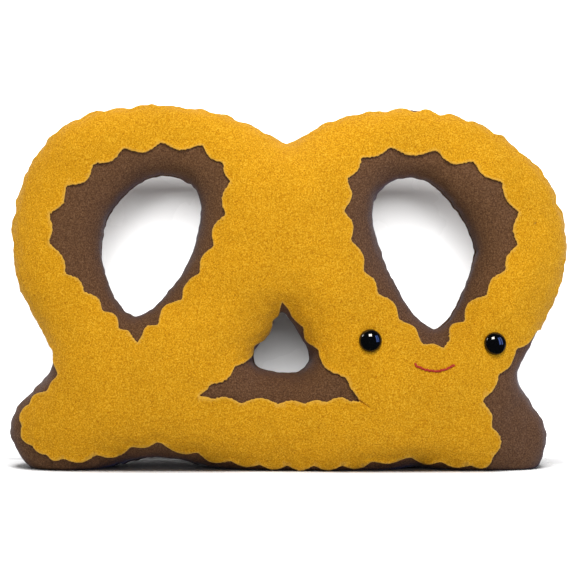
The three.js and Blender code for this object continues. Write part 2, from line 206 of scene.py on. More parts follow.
class Loop:
    """A closed line in the plan, turned so that what it encloses lies to its left."""

    def __init__(self, runs, step=0.8, closed=True):
        if closed:
            line = smooth_line(runs, True)
            parts = [evenly(np.vstack([line, line[:1]]), step)]
        else:
            parts = [evenly(smooth_line(run, False), step) for run in runs]
        points = np.vstack([part[:-1] for part in parts])
        starts = np.concatenate([[0], np.cumsum([len(part) - 1 for part in parts])])[:-1]
        ahead = np.roll(points, -1, 0)
        turned = (points[:, 0] * ahead[:, 1] - ahead[:, 0] * points[:, 1]).sum() < 0
        if turned:
            points, starts = points[::-1], len(points) - 1 - starts
        self.points = points
        self.leg = np.roll(points, -1, 0) - points
        self.leg_length = np.linalg.norm(self.leg, axis=1)
        self.normal = np.column_stack([-self.leg[:, 1], self.leg[:, 0]]) / self.leg_length[:, None]
        self.run = np.concatenate([[0], np.cumsum(self.leg_length)])[:-1]
        self.length = self.leg_length.sum()
        self.corners = [] if closed else self.run[starts]

    def measure(self, places):
        """Distance of each place from the line, positive inside it; how far round the line the
        nearest point lies; and that point. The nearest leg is one of the two beside the nearest
        of the line's points.
        """
        distance, run, foot = np.empty(len(places)), np.empty(len(places)), np.empty((len(places), 2))
        size = (self.points**2).sum(1)
        for start in range(0, len(places), 8192):
            p = places[start : start + 8192]
            nearest = (size - 2 * p @ self.points.T).argmin(1)
            found = []
            for leg in (nearest - 1, nearest):
                along = ((p - self.points[leg]) * self.leg[leg]).sum(1) / self.leg_length[leg] ** 2
                along = along.clip(0, 1)
                at = self.points[leg] + along[:, None] * self.leg[leg]
                found.append((leg, along, at, np.linalg.norm(p - at, axis=1)))
            (leg_a, along_a, at_a, off_a), (leg_b, along_b, at_b, off_b) = found
            second = off_b < off_a
            leg, at = np.where(second, leg_b, leg_a), np.where(second[:, None], at_b, at_a)
            along = np.where(second, along_b, along_a)
            corner = (along_a >= 1) & (along_b <= 0)
            facing = np.where(corner[:, None], self.normal[leg_a] + self.normal[leg_b], self.normal[leg])
            side = np.where(((p - at) * facing).sum(1) < 0, -1.0, 1.0)
            part = slice(start, start + len(p))
            distance[part] = side * np.minimum(off_a, off_b)
            run[part] = (self.run[leg] + along * self.leg_length[leg]) % self.length
            foot[part] = at
        return distance, run, foot


def scallops(loop, run, valleys, height, pitch, seed):
    """Swell of a hand-cut scalloped edge, above and below zero: the size of a sine wave, which is
    zero at each valley and round between them, with the valleys slightly rounded. Where valleys
    lie far apart, more are put between them at about the pitch. Longer scallops stand out
    further, and all of them die away at the loop's sharp corners.
    """
    rng = np.random.default_rng(seed)
    at = np.sort(loop.measure(np.asarray(valleys, float))[1])
    gap = np.diff(np.append(at, at[0] + loop.length))
    parts = np.maximum(1, np.round(gap / pitch - 0.25))
    count = np.append(0, np.cumsum(parts))
    place = np.where(run < at[0], run + loop.length, run)
    phase = np.interp(place, np.append(at, at[0] + loop.length), count)
    longer = (gap / parts / pitch)[np.searchsorted(at, place, side="right") - 1].clip(0.6, 1.5)
    strength = longer * rng.uniform(0.8, 1.2, int(count[-1]) + 1)[phase.astype(int)]
    wave = strength * (np.sqrt(np.sin(np.pi * phase) ** 2 + 0.05) - 0.22) / 0.8 - 0.6
    for corner in loop.corners:
        off = np.abs((run - corner + loop.length / 2) % loop.length - loop.length / 2)
        wave = wave * smoothstep(off, 1, 12)
    return height * wave


# ---------------------------------------------------------------------------- numbers


def smoothstep(value, low, high):
    """Zero below low, one above high, and a smooth cubic between them."""
    t = ((value - low) / (high - low)).clip(0, 1)
    return t * t * (3 - 2 * t)


def ripple(points, wavelength, seed, waves=24):
    """A smooth random height with a spread of one: many sine waves of about one wavelength in
    random directions, added up.
    """
    rng = np.random.default_rng(seed)
    direction = rng.normal(size=(points.shape[1], waves))
    direction /= np.linalg.norm(direction, axis=0) * wavelength * rng.uniform(0.75, 1.35, waves)
    phase = rng.uniform(0, 2 * np.pi, waves)
    return np.sin(2 * np.pi * (points @ direction) + phase).sum(1) * np.sqrt(2 / waves)


def unit(vectors):
    """Each vector divided by its length."""
    return vectors / np.maximum(np.linalg.norm(vectors, axis=-1, keepdims=True), 1e-12)


def vertex_normals(points, triangles):
    """The average direction of the triangles round each point, each weighted by its area."""
    a, b, c = (points[triangles[:, i]] for i in range(3))
    face = np.cross(b - a, c - a)
    total = np.column_stack(
        [np.bincount(triangles.ravel(), np.repeat(face[:, i], 3), minlength=len(points)) for i in range(3)]
    )
    return unit(total)


def kept(points, faces, *fields):
    """Only the points that the faces use, with the faces renumbered."""
    used, numbers = np.unique(faces, return_inverse=True)
    return [points[used], numbers.reshape(faces.shape), *(field[used] for field in fields)]


def split_near(triangles, near, *fields):
    """Halves every edge whose two ends are near, and cuts the triangles beside it into two, three
    or four. Each field takes the mean of the edge's ends at its middle.
    """
    three = [triangles[:, [0, 1]], triangles[:, [1, 2]], triangles[:, [2, 0]]]
    edges = np.sort(np.concatenate(three), axis=1)
    ends, number = np.unique(edges, axis=0, return_inverse=True)
    cut = near[ends].all(1)
    middle = np.where(cut, len(near) + np.cumsum(cut) - 1, -1)[number].reshape(3, -1).T
    fields = [np.concatenate([field, field[ends[cut]].mean(1)]) for field in fields]
    marked = middle >= 0
    count = marked.sum(1)

    def turned(which, first):
        """Each chosen triangle's corners and middles, turned so that the edge that first names
        comes first.
        """
        order = (first[which].argmax(1)[:, None] + np.arange(3)) % 3
        corners = np.take_along_axis(triangles[which], order, 1)
        return *corners.T, *np.take_along_axis(middle[which], order, 1).T

    parts = [triangles[count == 0]]
    a, b, c, ab, _, _ = turned(count == 1, marked)
    parts += [np.column_stack(t) for t in ((a, ab, c), (ab, b, c))]
    a, b, c, _, bc, ca = turned(count == 2, ~marked)
    parts += [np.column_stack(t) for t in ((c, ca, bc), (a, b, bc), (a, bc, ca))]
    a, b, c, ab, bc, ca = turned(count == 3, marked)
    parts += [np.column_stack(t) for t in ((a, ab, ca), (ab, b, bc), (ca, bc, c), (ab, bc, ca))]
    return [np.concatenate(parts), *fields]


def cut_at_zero(triangles, level, *fields):
    """Keeps the part of each triangle where level is above zero, cut straight across at the points
    where it would reach zero.
    """
    inside = level > 0
    count = inside[triangles].sum(1)

    def odd_first(which, odd):
        chosen = triangles[which]
        order = (odd[chosen].argmax(1)[:, None] + np.arange(3)) % 3
        return np.take_along_axis(chosen, order, 1)

    one, two = odd_first(count == 1, inside), odd_first(count == 2, ~inside)
    pairs = np.concatenate([one[:, [0, 1]], one[:, [0, 2]], two[:, [1, 0]], two[:, [2, 0]]])
    ends, number = np.unique(pairs, axis=0, return_inverse=True)
    share = (level[ends[:, 0]] / (level[ends[:, 0]] - level[ends[:, 1]])).clip(0.06, 0.94)
    number = number.ravel() + len(level)
    ab, ac, ba, ca = np.split(number, np.cumsum([len(one), len(one), len(two)]))
    faces = np.concatenate([
        triangles[count == 3],
        np.column_stack([one[:, 0], ab, ac]),
        np.column_stack([two[:, 1], two[:, 2], ca]),
        np.column_stack([two[:, 1], ca, ba]),
    ])
    grown = []
    for field in (level, *fields):
        weight = share.reshape(-1, *[1] * (field.ndim - 1))
        new = field[ends[:, 0]] * (1 - weight) + field[ends[:, 1]] * weight
        grown.append(np.concatenate([field, new]))
    grown[0][len(level) :] = 0
    return [faces, *grown]


# ---------------------------------------------------------------------- meshes


def fitted_shift():
    """Where x = 0 of the plan and the seam lie in the frame, in mm: from the boxes of the two felt
    panels.
    """
    low, high = (np.array(corner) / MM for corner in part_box("front_panel"))
    back_low, _ = (np.array(corner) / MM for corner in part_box("back_panel"))
    line = smooth_line(OUTER_SEAM, True)
    middle = (line[:, 0].min() + line[:, 0].max()) / 2
    return np.array([(low[0] + high[0]) / 2 - middle, (high[1] + back_low[1]) / 2, 0.0])


SHIFT = fitted_shift()


def to_frame(points):
    """Points of the plan, in mm, as places in the frame, in metres."""
    return (np.asarray(points) + SHIFT) * MM


def mesh_from(name, points, faces):
    """A mesh from arrays: points in mm, and faces as one or more arrays of corner numbers."""
    groups = faces if isinstance(faces, list) else [faces]
    corners = np.concatenate([group.ravel() for group in groups])
    sizes = np.concatenate([np.full(len(group), group.shape[1]) for group in groups])
    mesh = bpy.data.meshes.new(name)
    mesh.vertices.add(len(points))
    mesh.vertices.foreach_set("co", to_frame(points).astype(np.float32).ravel())
    mesh.loops.add(len(corners))
    mesh.loops.foreach_set("vertex_index", corners.astype(np.int32))
    mesh.polygons.add(len(sizes))
    mesh.polygons.foreach_set("loop_start", (np.cumsum(sizes) - sizes).astype(np.int32))
    mesh.update(calc_edges=True)
    mesh.validate()
    return mesh


def object_from(name, mesh, material=None):
    """A smooth-shaded object at the origin."""
    obj = bpy.data.objects.new(name, mesh)
    bpy.context.scene.collection.objects.link(obj)
    mesh.polygons.foreach_set("use_smooth", np.ones(len(mesh.polygons), bool))
    if material:
        mesh.materials.append(material)
    return obj


def mesh_points(mesh):
    """The places of a mesh's points in the plan, in mm."""
    co = np.empty(len(mesh.vertices) * 3, np.float32)
    mesh.vertices.foreach_get("co", co)
    return co.reshape(-1, 3).astype(float) / MM - SHIFT


def set_points(mesh, points):
    """Moves a mesh's points to places of the plan, in mm."""
    mesh.vertices.foreach_set("co", to_frame(points).astype(np.float32).ravel())
    mesh.update()


def mesh_triangles(mesh):
    """The corner numbers of a mesh's triangles."""
    mesh.calc_loop_triangles()
    triangles = np.empty(len(mesh.loop_triangles) * 3, np.int32)
    mesh.loop_triangles.foreach_get("vertices", triangles)
    return triangles.reshape(-1, 3).astype(np.int64)


def point_attribute(mesh, name, values):
    """Stores one number for each point, for a material to read."""
    attribute = mesh.attributes.new(name, "FLOAT", "POINT")
    attribute.data.foreach_set("value", values.astype(np.float32))


def applied(obj):
    """The object's mesh with its modifiers applied, as a new mesh."""
    graph = bpy.context.evaluated_depsgraph_get()
    return bpy.data.meshes.new_from_object(obj.evaluated_get(graph))


def remove(obj):
    """Deletes an object and its mesh."""
    mesh = obj.data
    bpy.data.objects.remove(obj)
    bpy.data.meshes.remove(mesh)


# ---------------------------------------------------------------------------- the body


def film(inside_by):
    """Height of a soap film over the plan, blown up by an even pressure: the sum of its second
    slopes is -2 everywhere inside. Beside the seam, a neighbour outside it stands for a
    straight line that reaches zero at the seam. Relaxed in two colours of a chequerboard.
    """
    inside = inside_by > 0
    near = np.maximum(inside_by, 0.05)
    steps = [(0, 1), (0, -1), (1, 0), (-1, 0)]
    weight = np.zeros_like(near)
    joined = []
    for down, across in steps:
        beside = np.roll(inside_by, (down, across), (0, 1))
        joined.append(beside > 0)
        weight += np.where(beside > 0, 1, 1 + (-beside / near).clip(0, 20))
    height = np.zeros_like(near)
    rows, columns = np.indices(near.shape)
    colours = [inside & ((rows + columns) % 2 == colour) for colour in (0, 1)]
    for _ in range(260):
        for colour in colours:
            pull = 2 * PLAN_STEP**2 + sum(
                np.where(ok, np.roll(height, step, (0, 1)), 0) for ok, step in zip(joined, steps)
            )
            height[colour] += 1.93 * ((pull / weight)[colour] - height[colour])
    return np.maximum(height, 0)


def pillow(fullness):
    """The closed pillow: over each node of a plan grid the front at minus the bulge and the back
    at plus the bulge, joined round the edge through the nearest points of the seam. The bulge
    is fullness times the film's height to the power 0.4.
    """
    loops = MADE["seams"]
    x = np.arange(-192, 196, PLAN_STEP)
    z = np.arange(-12, 248, PLAN_STEP)
    grid_x, grid_z = np.meshgrid(x, z)
    places = np.column_stack([grid_x.ravel(), grid_z.ravel()])
    found = [loop.measure(places) for loop in loops]
    depths = np.array([found[0][0], *(-one[0] for one in found[1:])])
    which = depths.argmin(0)
    depth = depths.min(0)
    feet = np.array([one[2] for one in found])[which, np.arange(len(places))]
    shape = grid_x.shape
    bulge = fullness * film(depth.reshape(shape)).ravel() ** BULGE_EXPONENT
    chosen = (depth > 0.5).reshape(shape)
    number = np.arange(len(places)).reshape(shape)
    cell = chosen[:-1, :-1] & chosen[:-1, 1:] & chosen[1:, 1:] & chosen[1:, :-1]
    quads = np.column_stack([
        corner[cell] for corner in (number[:-1, :-1], number[:-1, 1:], number[1:, 1:], number[1:, :-1])
    ])
    edges = np.concatenate([quads[:, [i, (i + 1) % 4]] for i in range(4)])
    total = len(places)
    alone = ~np.isin(edges[:, 0] * total + edges[:, 1], edges[:, 1] * total + edges[:, 0])
    p, q = edges[alone].T
    front = np.column_stack([places[:, 0], -bulge, places[:, 1]])
    back = front * (1, -1, 1)
    seam = np.column_stack([feet[:, 0], np.zeros(total), feet[:, 1]])
    faces = np.concatenate([
        quads,
        quads[:, ::-1] + total,
        np.column_stack([q, p, p + 2 * total, q + 2 * total]),
        np.column_stack([p + total, q + total, q + 2 * total, p + 2 * total]),
    ])
    return kept(np.vstack([front, back, seam]), faces)


def swollen(obj):
    """Blows the closed pillow up like stuffed cloth, held at the seam, and returns its points. How
    far a point may go is capped.
    """
    start = mesh_points(obj.data)
    on_seam = np.flatnonzero(np.abs(start[:, 1]) < 1.8)
    seam = obj.vertex_groups.new(name="seam")
    seam.add(on_seam.tolist(), 1.0, "REPLACE")
    cloth = obj.modifiers.new("stuffing pressure", "CLOTH")
    cloth.settings.quality = 5
    cloth.settings.mass = 0.15
    cloth.settings.tension_stiffness = 18
    cloth.settings.compression_stiffness = 12
    cloth.settings.shear_stiffness = 8
    cloth.settings.bending_stiffness = 0.6
    cloth.settings.use_pressure = True
    cloth.settings.uniform_pressure_force = 4
    cloth.settings.vertex_group_mass = "seam"
    cloth.settings.effector_weights.gravity = 0
    cloth.collision_settings.use_collision = False
    cloth.point_cache.frame_start = 1
    cloth.point_cache.frame_end = SWELL_FRAMES
    scene = bpy.context.scene
    for frame in range(1, SWELL_FRAMES + 1):
        scene.frame_set(frame)
    graph = bpy.context.evaluated_depsgraph_get()
    result = obj.evaluated_get(graph)
    end = mesh_points(result.to_mesh())
    result.to_mesh_clear()
    obj.modifiers.clear()
    scene.frame_set(1)
    move = end - start
    far = np.linalg.norm(move, axis=1)
    capped = MOST_SWELL * np.tanh(far / MOST_SWELL)
    return start + move * (capped / np.maximum(far, 1e-9))[:, None]


def eye_axes():
    """For each eye: the middle of its base and the way that it faces, from the CAD nodes of the
    eye and of its washer.
    """
    axes = {}
    for side in ("left", "right"):
        points = {}
        for part in ("eye", "eye_washer"):
            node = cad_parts[f"{side}_{part}"]
            a, b, c = (mesh_points(node.data)[mesh_triangles(node.data)[:, i]] for i in range(3))
            area = np.linalg.norm(np.cross(b - a, c - a), axis=1)[:, None]
            points[part] = ((a + b + c) / 3 * area).sum(0) / area.sum()
        facing = unit(points["eye"] - points["eye_washer"])
        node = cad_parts[f"{side}_eye"]
        along = (mesh_points(node.data) - points["eye"]) @ facing
        top = points["eye"] + facing * along.max()
        axes[side] = (top - facing * EYE_HEIGHT, facing)
    return axes


def seated(points, below):
    """Points near each eye moved along its axis, so that the felt under it lies flat at a depth
    below its base. The move fades out round it.
    """
    points = points.copy()
    for base, facing in MADE["eyes"].values():
        off = points - base
        along = off @ facing
        radius = np.linalg.norm(off - along[:, None] * facing, axis=1)
        share = 1 - smoothstep(radius, EYE_RADIUS + 0.3, 19)
        share = np.where(np.abs(along) < 25, share, 0)
        points += (share * (-below - along))[:, None] * facing
    return points


def creased(points, normals, depth):
    """A short fold in the front, deepest at its start: a narrow groove along a line of the plan.
    """
    start, end = np.array(FOLD, float)
    along = ((points[:, [0, 2]] - start) @ (end - start) / ((end - start) ** 2).sum()).clip(-0.4, 1)
    off = np.linalg.norm(points[:, [0, 2]] - start - along[:, None] * (end - start), axis=1)
    groove = np.exp(-((off / 0.55) ** 2)) * (1 - smoothstep(along, 0.2, 1)) * (points[:, 1] < 0)
    return points - normals * (depth * groove)[:, None]


def body_surface(settings):
    """The stuffed body's outer face, as a closed mesh in its final shape apart from the seam."""
    points, faces = pillow(settings.fullness)
    block = object_from("pillow", mesh_from("pillow", points, faces))
    remesh = block.modifiers.new("even mesh", "REMESH")
    remesh.mode = "VOXEL"
    remesh.voxel_size = VOXEL * MM
    smooth = block.modifiers.new("no steps", "SMOOTH")
    smooth.factor, smooth.iterations = 0.5, 4
    even = object_from("even pillow", applied(block))
    remove(block)
    points = mesh_points(even.data)
    normals = vertex_normals(points, mesh_triangles(even.data))
    set_points(even.data, points + normals * (SEAM_OFFSET + 0.3))
    set_points(even.data, swollen(even))
    smooth = even.modifiers.new("no kinks", "SMOOTH")
    smooth.factor, smooth.iterations = 0.5, 3
    finer = even.modifiers.new("finer", "SUBSURF")
    finer.levels = finer.render_levels = 1
    mesh = applied(even)
    remove(even)
    points = mesh_points(mesh)
    normals = vertex_normals(points, mesh_triangles(mesh))
    points = points + normals * (0.45 * ripple(points, 38, 11) + 0.12 * ripple(points, 14, 12))[:, None]
    points = seated(points, FELT_GAP + settings.felt_thickness / MM + 0.1)
    set_points(mesh, points)
    return mesh


def settle(points):
    """Lets the toy sag on the floor. Low parts of the underside sink by a few millimetres, more
    towards the back, and heights below zero are squeezed up to the floor through a smooth bend.
    """
    points = points.copy()
    y, z = points[:, 1], points[:, 2]
    under = 1 - smoothstep(np.abs(y), 17, 28)
    sink = 4.5 + 3.5 * smoothstep(y, -6, 8)
    z = z - sink * under * (1 - smoothstep(z, 3, 18))
    points[:, 2] = 0.5 * (z + np.sqrt(z**2 + 1.5**2)) - 0.05
    points[:, 2] = np.maximum(points[:, 2], 0)
    return points


def seam_rows(mesh, side):
    """One half of the body, cut off at the seam, with rows of points that follow the seam closely.
    """
    bm = bmesh.new()
    bm.from_mesh(mesh)
    seam_y = float(to_frame([0, 0, 0])[1])
    everything = bm.verts[:] + bm.edges[:] + bm.faces[:]
    bmesh.ops.bisect_plane(
        bm, geom=everything, dist=0.0002, plane_co=(0, seam_y, 0), plane_no=(0, side, 0), clear_inner=True
    )
    for depth in (0.4, 0.9, 1.6, 2.6):
        everything = bm.verts[:] + bm.edges[:] + bm.faces[:]
        bmesh.ops.bisect_plane(
            bm, geom=everything, dist=0.0001, plane_co=(0, seam_y + side * depth * MM, 0), plane_no=(0, 1, 0)
        )
    bmesh.ops.dissolve_degenerate(bm, edges=bm.edges[:], dist=0.00005)
    half = bpy.data.meshes.new("half")
    bm.to_mesh(half)
    bm.free()
    return half


def gathered(points, normals, settings):
    """The look of a sewn seam. The felt turns in to the seam along a narrow groove, and small
    puckers run across it and fade out away from it.
    """
    depth = np.abs(points[:, 1])
    inward = unit(-normals * (1, 0, 1))
    groove = 1.7 * (1 - (depth / 3.0).clip(0, 1)) ** 2.2
    flat = points[:, [0, 2]]
    pucker = ripple(flat, 8.5, 21) + 0.6 * ripple(flat, 5.0, 22)
    fade = np.exp(-depth / 7.0) * smoothstep(points[:, 2], 1.0, 6.0)
    lift = settings.pucker_depth / MM * pucker * fade
    return points + inward * groove[:, None] + normals * lift[:, None]


def add_allowance(mesh):
    """Turns a half's open edge inwards, as the seam allowance inside the toy: a strip in the
    seam's plane.
    """
    bm = bmesh.new()
    bm.from_mesh(mesh)
    bm.normal_update()
    rim = [edge for edge in bm.edges if edge.is_boundary]
    normals = {vert: vert.normal.copy() for edge in rim for vert in edge.verts}
    for width in (0.8, 1.8):
        made = bmesh.ops.extrude_edge_only(bm, edges=rim)["geom"]
        fresh = [item for item in made if isinstance(item, bmesh.types.BMVert)]
        carried = {}
        for vert in fresh:
            old = next(edge.other_vert(vert) for edge in vert.link_edges if edge.other_vert(vert) in normals)
            normal = normals[old]
            vert.co -= Vector((normal.x, 0, normal.z)).normalized() * width * MM
            carried[vert] = normal
        normals = carried
        rim = [item for item in made if isinstance(item, bmesh.types.BMEdge) and item.is_boundary]
    bm.to_mesh(mesh)
    bm.free()


def felt_panel(name, node, mesh, side, settings):
    """One brown felt panel: half of the body's face, its seam allowance, and the felt's thickness
    inside.
    """
    half = seam_rows(mesh, side)
    points = mesh_points(half)
    normals = vertex_normals(points, mesh_triangles(half))
    points = gathered(points, normals, settings)
    points[:, 1] += side * 0.08
    points = settle(creased(points, normals, 0.8))
    set_points(half, points)
    outer = half.copy()
    add_allowance(half)
    panel = object_from(name, half, brown_felt(settings))
    # Distance from the seam, which the brown felt reads to paint its shade towards the seam.
    point_attribute(half, "seam_depth", np.abs(mesh_points(half)[:, 1]))
    wall = panel.modifiers.new("felt thickness", "SOLIDIFY")
    wall.thickness = settings.felt_thickness
    wall.offset = -1
    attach(panel, "root")
    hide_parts(node)
    return outer


def make_body(settings):
    """The two brown panels, and the stuffing, which is the body's face moved inwards with a lumpy
    surface.
    """
    MADE["seams"] = [Loop(OUTER_SEAM), Loop(LEFT_OPENING), Loop(RIGHT_OPENING), Loop(TRIANGLE_OPENING)]
    MADE["eyes"] = eye_axes()
    mesh = body_surface(settings)
    MADE["front"] = felt_panel("front_felt", "front_panel", mesh, -1, settings)
    felt_panel("back_felt", "back_panel", mesh, 1, settings)
    points = mesh_points(mesh)
    normals = vertex_normals(points, mesh_triangles(mesh))
    inset = settings.felt_thickness / MM + 0.5 + 2.6 * np.exp(-np.abs(points[:, 1]) / 2.5)
    lumps = 0.25 * ripple(points, 11, 31)
    filling = points - normals * (inset + np.abs(lumps))[:, None]
    filling[:, 2] = np.maximum(settle(filling)[:, 2], settings.felt_thickness / MM + 0.4)
    set_points(mesh, filling)
    stuffing = object_from("fibre_filling", mesh, polyester_fibrefill())
    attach(stuffing, "root")
    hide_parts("stuffing")


# ------------------------------------------------------------------ the yellow felt


def edge_level(points, settings):
    """How far each point of the front lies inside the yellow felt's edges, in mm. It is the least
    of the distances inside the outer line, outside each cut-out, and beyond a set distance from
    the outer seam, each with its scallops.
    """
    plan = points[:, [0, 2]]
    height, pitch = settings.scallop_height / MM, settings.scallop_pitch / MM
    outer, seam = MADE["yellow_edge"], MADE["seams"][0]
    distance, run, _ = outer.measure(plan)
    level = distance + scallops(outer, run, OUTER_VALLEYS, 0.62 * height, pitch, 41)
    distance, run, _ = seam.measure(plan)
    chord = np.hypot(np.maximum(distance + SEAM_OFFSET, 0), points[:, 1])
    level = np.minimum(level, chord - WRAP + scallops(seam, run, SEAM_VALLEYS, height, pitch, 42))
    cut_valleys = (LEFT_VALLEYS, RIGHT_VALLEYS, TRIANGLE_VALLEYS)
    for cutout, valleys, size in zip(MADE["cutouts"], cut_valleys, (0.9, 0.88, 0.6)):
        distance, run, _ = cutout.measure(plan)
        level = np.minimum(level, scallops(cutout, run, valleys, size * height, pitch, 43) - distance - 0.5)
    return level


def make_overlay(settings):
    """The yellow felt: the front panel's face cut along the scalloped edges, lifted off the brown
    felt, and closed by a rounded rim and an inner face.
    """
    MADE["yellow_edge"] = Loop(YELLOW_EDGE)
    MADE["cutouts"] = [Loop(runs, closed=False) for runs in (LEFT_CUTOUT, RIGHT_CUTOUT, TRIANGLE_CUTOUT)]
    whole = object_from("front face", MADE["front"].copy())
    whole.modifiers.new("fewer faces", "DECIMATE").ratio = FELT_FACES
    front = applied(whole)
    remove(whole)
    points, faces = mesh_points(front), mesh_triangles(front)
    normals = vertex_normals(points, faces)
    level = edge_level(points, settings)
    wanted = (level > -4)[faces].any(1)
    points, faces, normals, level = kept(points, faces[wanted], normals, level)
    fold = np.linalg.norm(points[:, [0, 2]] - np.mean(FOLD, 0), axis=1) < 9
    faces, points, normals, level = split_near(faces, (np.abs(level) < 1.5) | fold, points, normals, level)
    fold = np.linalg.norm(points[:, [0, 2]] - np.mean(FOLD, 0), axis=1) < 8
    faces, points, normals = split_near(faces, fold, points, normals)
    normals = unit(normals)
    level = edge_level(points, settings)
    faces, level, points, normals = cut_at_zero(faces, level, points, normals)
    points, faces, normals, level = kept(points, faces, normals, level)
    normals = unit(normals)

    thickness = settings.felt_thickness / MM
    flat = points[:, [0, 2]]
    near = np.exp(-level / 2.2)
    lift = FELT_GAP + 0.65 * near * (0.6 + 0.4 * ripple(flat, 13, 51)).clip(0, 2)
    tucked = 0.28 * np.exp(-(((level - 3.2) / 1.3) ** 2))
    surface = 0.10 * ripple(points, 9, 52) + 0.05 * ripple(points, 4, 53)
    outer = points + normals * (thickness + lift - tucked + surface)[:, None]
    inner = points + normals * np.minimum(lift, FELT_GAP + 0.2)[:, None]
    outer = creased(outer, normals, 1.3)

    count = len(points)
    edges = np.concatenate([faces[:, [0, 1]], faces[:, [1, 2]], faces[:, [2, 0]]])
    alone = ~np.isin(edges[:, 0] * count + edges[:, 1], edges[:, 1] * count + edges[:, 0])
    start, end = edges[alone].T
    ahead, behind = np.zeros(count, int), np.zeros(count, int)
    ahead[start], behind[end] = end, start
    rim = np.unique(start)
    along = unit(points[ahead[rim]] - points[behind[rim]])
    out = unit(np.cross(along, normals[rim]))
    fray = 1 + 0.30 * ripple(points[rim], 2.6, 54) + 0.25 * ripple(points[rim], 1.3, 55)
    top, bottom = outer[rim], inner[rim]
    rows = []
    for turn, reach in ((0.16, 0.26), (0.38, 0.44), (0.66, 0.44), (0.88, 0.24)):
        rows.append(top * (1 - turn) + bottom * turn + out * (reach * fray)[:, None])
    slot_of = np.full(count, -1)
    slot_of[rim] = np.arange(len(rim))
    ring_start = [start, *(2 * count + i * len(rim) + slot_of[start] for i in range(4)), start + count]
    ring_end = [end, *(2 * count + i * len(rim) + slot_of[end] for i in range(4)), end + count]
    strips = [
        np.column_stack([ring_end[i], ring_start[i], ring_start[i + 1], ring_end[i + 1]]) for i in range(5)
    ]
    everything = np.vstack([outer, inner, *rows])
    mesh = mesh_from("yellow_felt", everything, [faces, faces[:, ::-1] + count, *strips])
    # Mask of the cut edge, for the paler fibre ends, which are partly a painted highlight.
    cut = np.concatenate([1 - smoothstep(level, 0.0, 1.0), np.zeros(count), np.ones(4 * len(rim))])
    point_attribute(mesh, "cut_edge", cut)
    overlay = object_from("yellow_felt", mesh, yellow_felt(settings))
    MADE["yellow"] = (outer, faces, normals)
    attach(overlay, "root")
    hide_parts("yellow_overlay")


# ----------------------------------------------------------------- eyes and smile


def ring_quads(rows, around):
    """Faces between neighbouring rows of points, each of which runs round a closed ring."""
    i, j = np.meshgrid(np.arange(rows - 1), np.arange(around), indexing="ij")
    k = (j + 1) % around
    return np.column_stack([(r * around + c).ravel() for r, c in ((i, j), (i, k), (i + 1, k), (i + 1, j))])


def turned_shape(profile, base, facing, segments=64):
    """A lathed shape: a profile of radius and height turned about an axis. A radius of zero closes
    the pole.
    """
    profile = np.asarray(profile, float)
    angle = np.arange(segments) / segments * 2 * np.pi
    side = unit(np.cross(facing, (0, 0, 1)))
    up = np.cross(side, facing)
    ring = np.cos(angle)[:, None] * side + np.sin(angle)[:, None] * up
    poles = profile[[0, -1]]
    body = profile[1:-1]
    points = base + body[:, 1, None, None] * facing + body[:, 0, None, None] * ring
    rows = len(body)
    ends = base + poles[:, 1, None] * facing
    first, last = rows * segments, rows * segments + 1
    j = np.arange(segments)
    k = (j + 1) % segments
    start = np.column_stack([np.full(segments, first), k, j])
    finish = np.column_stack([np.full(segments, last), (rows - 1) * segments + j, (rows - 1) * segments + k])
    return np.vstack([points.reshape(-1, 3), ends]), [ring_quads(rows, segments), np.vstack([start, finish])]


def eye_profile():
    """Radius and height of a safety eye, from the shank's end to the top: the ridged shank, the
    flat underside, a thin rim, and a dome that is a part of an ellipse.
    """
    shank = [(0, -14), (1.5, -14), (2.0, -13.2)]
    for ridge in np.arange(-12.6, -3.0, 1.6):
        shank += [(2.05, ridge), (2.25, ridge + 0.35), (2.25, ridge + 0.5), (1.95, ridge + 0.75)]
    shank += [(2.05, -2.4), (2.05, -0.2), (2.4, 0), (6.8, 0)]
    shank += [(7.25, 0.08), (7.45, 0.25), (7.5, 0.5), (7.47, 0.7)]
    angle = np.linspace(0.03, np.pi / 2, 28)[:-1]
    dome = [(7.42 * np.cos(t), 0.7 + (EYE_HEIGHT - 0.7) * np.sin(t)) for t in angle]
    return shank + dome + [(0, EYE_HEIGHT)]


def make_eyes(settings):
    """The two eyes, lathed on the axes of their CAD nodes. The washers inside keep their CAD shape
    and get their plastic.
    """
    for side, (base, facing) in MADE["eyes"].items():
        points, faces = turned_shape(eye_profile(), base, facing)
        mesh = mesh_from(f"{side}_safety_eye", points, faces)
        eye = object_from(f"{side}_safety_eye", mesh, black_abs(settings))
        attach(eye, "root")
        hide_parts(f"{side}_eye")
        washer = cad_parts[f"{side}_eye_washer"]
        washer.data.materials.clear()
        washer.data.materials.append(white_polypropylene())


def on_yellow(places):
    """Points and normals of the yellow felt's face over places of the plan: the mean of the
    nearest few corners, each weighted by the inverse square of its distance.
    """
    points, _, normals = MADE["yellow"]
    chosen = np.linalg.norm(points[:, [0, 2]] - (94, 69), axis=1) < 40
    points, normals = points[chosen], normals[chosen]
    off = np.linalg.norm(points[None, :, [0, 2]] - places[:, None], axis=2)
    nearest = np.argsort(off, axis=1)[:, :5]
    weight = 1 / (np.take_along_axis(off, nearest, 1) ** 2 + 0.04)
    weight /= weight.sum(1, keepdims=True)
    at = (points[nearest] * weight[..., None]).sum(1)
    return at, unit((normals[nearest] * weight[..., None]).sum(1))


